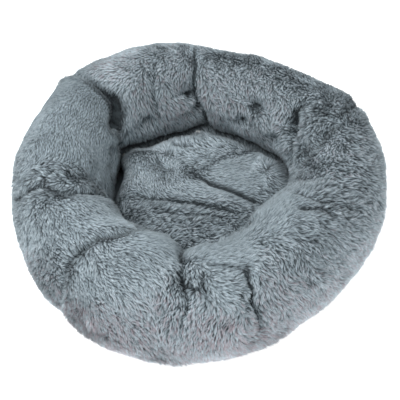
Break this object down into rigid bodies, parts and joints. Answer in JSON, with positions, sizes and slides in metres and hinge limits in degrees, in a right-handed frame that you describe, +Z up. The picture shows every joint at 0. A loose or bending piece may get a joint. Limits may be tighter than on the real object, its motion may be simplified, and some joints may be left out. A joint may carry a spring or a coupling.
{
  "type": "pet cushion bed",
  "caption": "Round plush pet bed: a thick stuffed ring of sewn fur-fabric panels on a thin grip base, with a loose puffy pad that lifts out of the nest.",
  "frame": {"origin": "on the floor, under the middle of the bed's outline", "axes": "+Z up out of the nest; -Y towards the narrow closing panel of the ring, +X to the right when seen from there"},
  "size_m": [0.4858, 0.4798, 0.1703],
  "materials": {
    "plush": "long soft blue-grey pile, matte with a faint silky sheen",
    "sewing_thread": "twisted grey polyester thread",
    "hollow_fibre": "loose white fibre wadding",
    "grip_cloth": "dark woven cloth with small raised grip dots",
    "lining_cloth": "plain woven grey cloth"
  },
  "bodies": {
    "bed_body": {"bolster_panel_1": "plush", "bolster_panel_2": "plush", "bolster_panel_3": "plush", "bolster_panel_4": "plush", "bolster_panel_5": "plush", "bolster_panel_6": "plush", "bolster_panel_7": "plush", "bolster_panel_8": "plush", "panel_seam_thread_1": "sewing_thread", "panel_seam_thread_2": "sewing_thread", "panel_seam_thread_3": "sewing_thread", "panel_seam_thread_4": "sewing_thread", "panel_seam_thread_5": "sewing_thread", "panel_seam_thread_6": "sewing_thread", "panel_seam_thread_7": "sewing_thread", "panel_seam_thread_8": "sewing_thread", "bolster_filling": "hollow_fibre", "base_cloth": "grip_cloth", "base_wadding": "hollow_fibre", "nest_lining": "lining_cloth", "outer_foot_thread": "sewing_thread", "inner_foot_thread": "sewing_thread"},
    "loose_pad": {"pad_top": "plush", "pad_underside": "lining_cloth", "pad_filling": "hollow_fibre", "pad_seam_thread": "sewing_thread"}
  },
  "joints": [
    {"name": "pad_lift", "type": "slide", "parent": "bed_body", "child": "loose_pad", "axis": [0, 0, 1], "range_m": [0, 0.2]}
  ]
}
